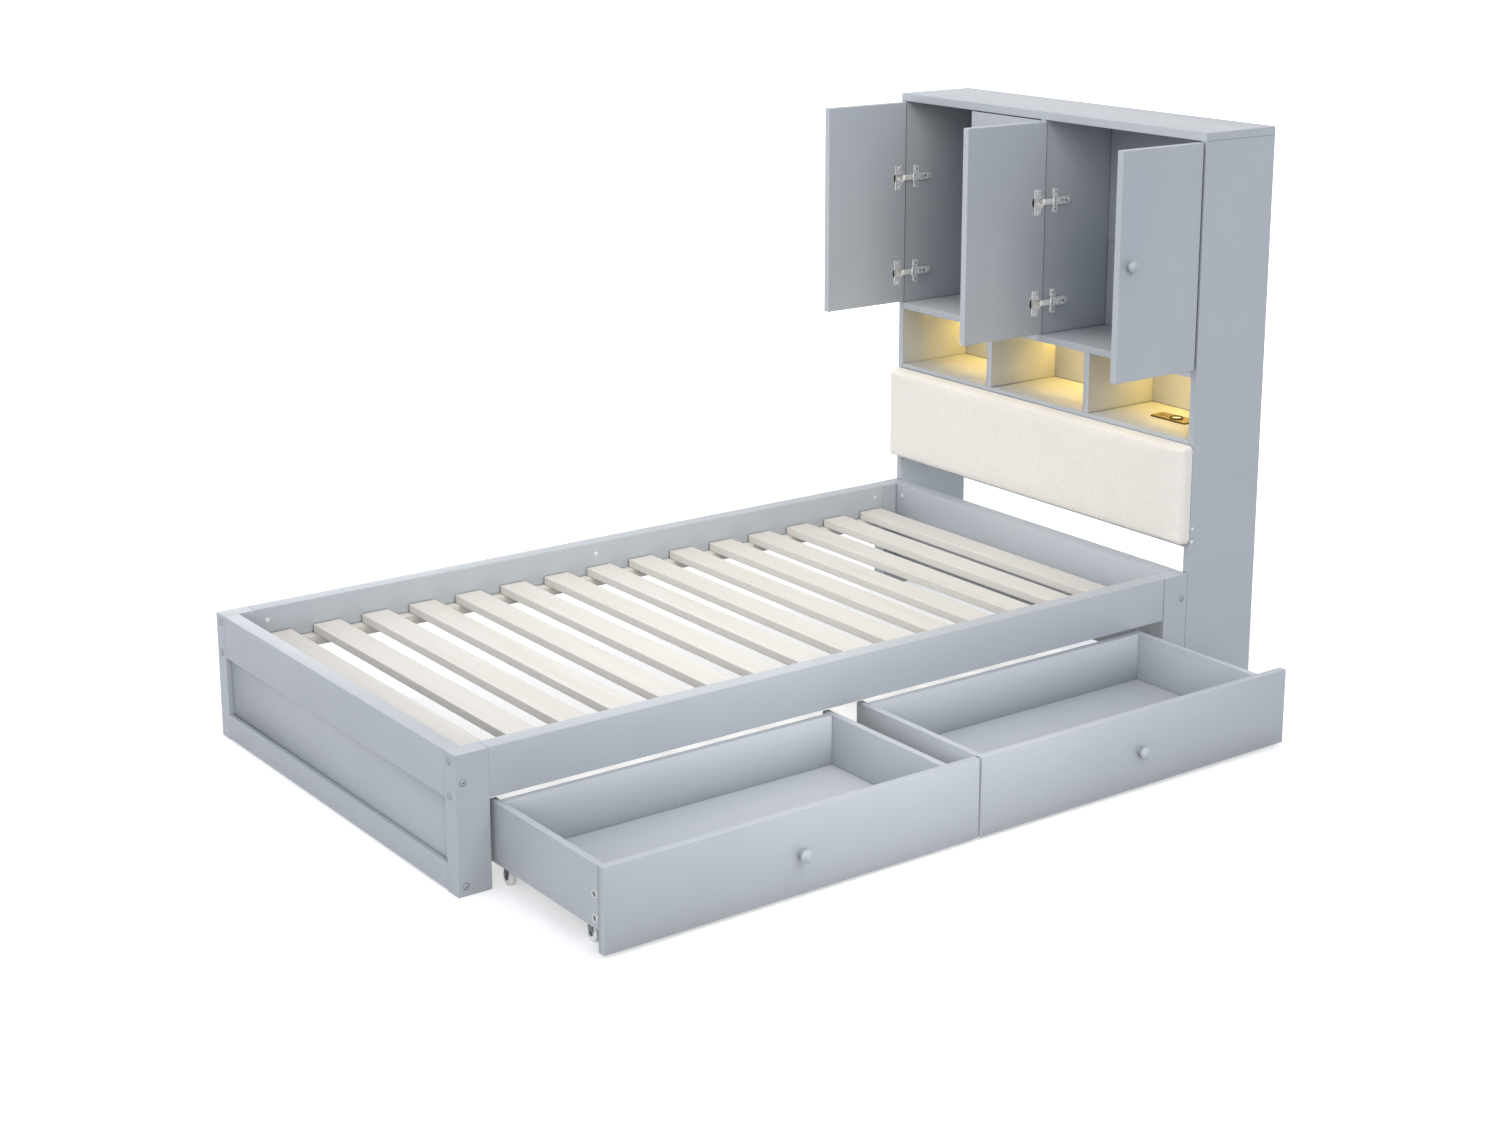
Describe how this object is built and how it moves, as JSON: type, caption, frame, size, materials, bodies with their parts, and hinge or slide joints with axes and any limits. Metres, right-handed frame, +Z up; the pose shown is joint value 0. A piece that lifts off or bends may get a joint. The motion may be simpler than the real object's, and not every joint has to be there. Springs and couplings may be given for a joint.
{
  "type": "bed with storage headboard",
  "caption": "Slatted single bed on legs with rolling under-bed drawers and a deep headboard that holds a padded rest, open lit niches and door cabinets on concealed hinges.",
  "frame": {"origin": "middle of the rectangle on the floor under everything, as pictured with both drawers out and three doors open", "axes": "+Z up, +Y from the foot of the bed to its headboard, +X towards the side with the drawers"},
  "size_m": [1.532, 2.217, 1.345],
  "materials": {
    "paint": "boards in satin cool grey paint",
    "slats": "pale unpainted softwood, sanded",
    "linen": "beige woven linen over foam on a board",
    "nickel": "nickel-plated pressed steel",
    "white_plastic": "white moulded caster wheel",
    "black_plastic": "black moulded power unit",
    "led": "warm white light strip under a clear cover"
  },
  "bodies": {
    "bed": {"leg_foot_left": "paint", "leg_foot_right": "paint", "leg_head_left": "paint", "leg_head_right": "paint", "side_rail_left": "paint", "side_rail_right": "paint", "foot_top_rail": "paint", "foot_bottom_rail": "paint", "foot_infill_panel": "paint", "head_panel": "paint", "slat_base": "slats", "headboard_side_left": "paint", "headboard_side_right": "paint", "headboard_top": "paint", "cabinet_floor": "paint", "cabinet_partition": "paint", "niche_floor": "paint", "niche_divider_left": "paint", "niche_divider_right": "paint", "back_panel": "paint", "cushion_rail": "paint", "cushion": "linen", "led_strip": "led", "charging_station": "black_plastic"},
    "door_leaf_1": {"door_1": "paint", "door_knob_1": "paint"},
    "door_leaf_2": {"door_2": "paint", "door_knob_2": "paint"},
    "door_leaf_3": {"door_3": "paint", "door_knob_3": "paint"},
    "door_leaf_4": {"door_4": "paint", "door_knob_4": "paint"},
    "necks_1": {"hinge_neck_1_lower": "nickel", "hinge_neck_1_upper": "nickel"},
    "necks_2": {"hinge_neck_2_lower": "nickel", "hinge_neck_2_upper": "nickel"},
    "necks_3": {"hinge_neck_3_lower": "nickel", "hinge_neck_3_upper": "nickel"},
    "necks_4": {"hinge_neck_4_lower": "nickel", "hinge_neck_4_upper": "nickel"},
    "drawer_1": {"drawer_1_front": "paint", "drawer_1_side_left": "paint", "drawer_1_side_right": "paint", "drawer_1_back": "paint", "drawer_1_bottom": "paint", "drawer_1_knob": "paint"},
    "drawer_2": {"drawer_2_front": "paint", "drawer_2_side_left": "paint", "drawer_2_side_right": "paint", "drawer_2_back": "paint", "drawer_2_bottom": "paint", "drawer_2_knob": "paint"},
    "caster_1_1": {"drawer_1_wheel_1": "white_plastic"},
    "caster_1_2": {"drawer_1_wheel_2": "white_plastic"},
    "caster_1_3": {"drawer_1_wheel_3": "white_plastic"},
    "caster_1_4": {"drawer_1_wheel_4": "white_plastic"},
    "caster_2_1": {"drawer_2_wheel_1": "white_plastic"},
    "caster_2_2": {"drawer_2_wheel_2": "white_plastic"},
    "caster_2_3": {"drawer_2_wheel_3": "white_plastic"},
    "caster_2_4": {"drawer_2_wheel_4": "white_plastic"}
  },
  "joints": [
    {"name": "door_1_hinge", "type": "hinge", "parent": "bed", "child": "door_leaf_1", "pos_m": [-0.7345, 0.886, 1.056], "axis": [0, 0, 1], "range_deg": [0, 90]},
    {"name": "door_2_hinge", "type": "hinge", "parent": "bed", "child": "door_leaf_2", "pos_m": [-0.2025, 0.884, 1.056], "axis": [0, 0, 1], "range_deg": [0, 70]},
    {"name": "door_3_hinge", "type": "hinge", "parent": "bed", "child": "door_leaf_3", "pos_m": [-0.1935, 0.884, 1.056], "axis": [0, 0, 1], "range_deg": [0, 90]},
    {"name": "door_4_hinge", "type": "hinge", "parent": "bed", "child": "door_leaf_4", "pos_m": [0.3385, 0.886, 1.056], "axis": [0, 0, 1], "range_deg": [-90, 0]},
    {"name": "necks_1_pin", "type": "hinge", "parent": "bed", "child": "necks_1", "pos_m": [-0.7195, 0.9015, 0.997], "axis": [0, 0, 1], "range_deg": [0, 90]},
    {"name": "necks_2_pin", "type": "hinge", "parent": "bed", "child": "necks_2", "pos_m": [-0.2195, 0.9015, 0.997], "axis": [0, 0, 1], "range_deg": [0, 70]},
    {"name": "necks_3_pin", "type": "hinge", "parent": "bed", "child": "necks_3", "pos_m": [-0.1765, 0.9015, 0.997], "axis": [0, 0, 1], "range_deg": [0, 90]},
    {"name": "necks_4_pin", "type": "hinge", "parent": "bed", "child": "necks_4", "pos_m": [0.3235, 0.9015, 0.997], "axis": [0, 0, 1], "range_deg": [-90, 0]},
    {"name": "drawer_1_slide", "type": "slide", "parent": "bed", "child": "drawer_1", "axis": [1, 0, 0], "range_m": [-0.393, 0.018]},
    {"name": "drawer_2_slide", "type": "slide", "parent": "bed", "child": "drawer_2", "axis": [1, 0, 0], "range_m": [-0.393, 0.018]},
    {"name": "caster_1_1_axle", "type": "hinge", "parent": "drawer_1", "child": "caster_1_1", "pos_m": [0.354, -0.9955, 0.017], "axis": [0, 1, 0], "continuous": true},
    {"name": "caster_1_2_axle", "type": "hinge", "parent": "drawer_1", "child": "caster_1_2", "pos_m": [0.354, -0.2175, 0.017], "axis": [0, 1, 0], "continuous": true},
    {"name": "caster_1_3_axle", "type": "hinge", "parent": "drawer_1", "child": "caster_1_3", "pos_m": [0.662, -0.9955, 0.017], "axis": [0, 1, 0], "continuous": true},
    {"name": "caster_1_4_axle", "type": "hinge", "parent": "drawer_1", "child": "caster_1_4", "pos_m": [0.662, -0.2175, 0.017], "axis": [0, 1, 0], "continuous": true},
    {"name": "caster_2_1_axle", "type": "hinge", "parent": "drawer_2", "child": "caster_2_1", "pos_m": [0.354, -0.0825, 0.017], "axis": [0, 1, 0], "continuous": true},
    {"name": "caster_2_2_axle", "type": "hinge", "parent": "drawer_2", "child": "caster_2_2", "pos_m": [0.354, 0.6955, 0.017], "axis": [0, 1, 0], "continuous": true},
    {"name": "caster_2_3_axle", "type": "hinge", "parent": "drawer_2", "child": "caster_2_3", "pos_m": [0.662, -0.0825, 0.017], "axis": [0, 1, 0], "continuous": true},
    {"name": "caster_2_4_axle", "type": "hinge", "parent": "drawer_2", "child": "caster_2_4", "pos_m": [0.662, 0.6955, 0.017], "axis": [0, 1, 0], "continuous": true}
  ],
  "couplings": [
    {"joint": "necks_1_pin", "follows": "door_1_hinge", "ratio": 1},
    {"joint": "necks_2_pin", "follows": "door_2_hinge", "ratio": 1},
    {"joint": "necks_3_pin", "follows": "door_3_hinge", "ratio": 1},
    {"joint": "necks_4_pin", "follows": "door_4_hinge", "ratio": 1}
  ]
}
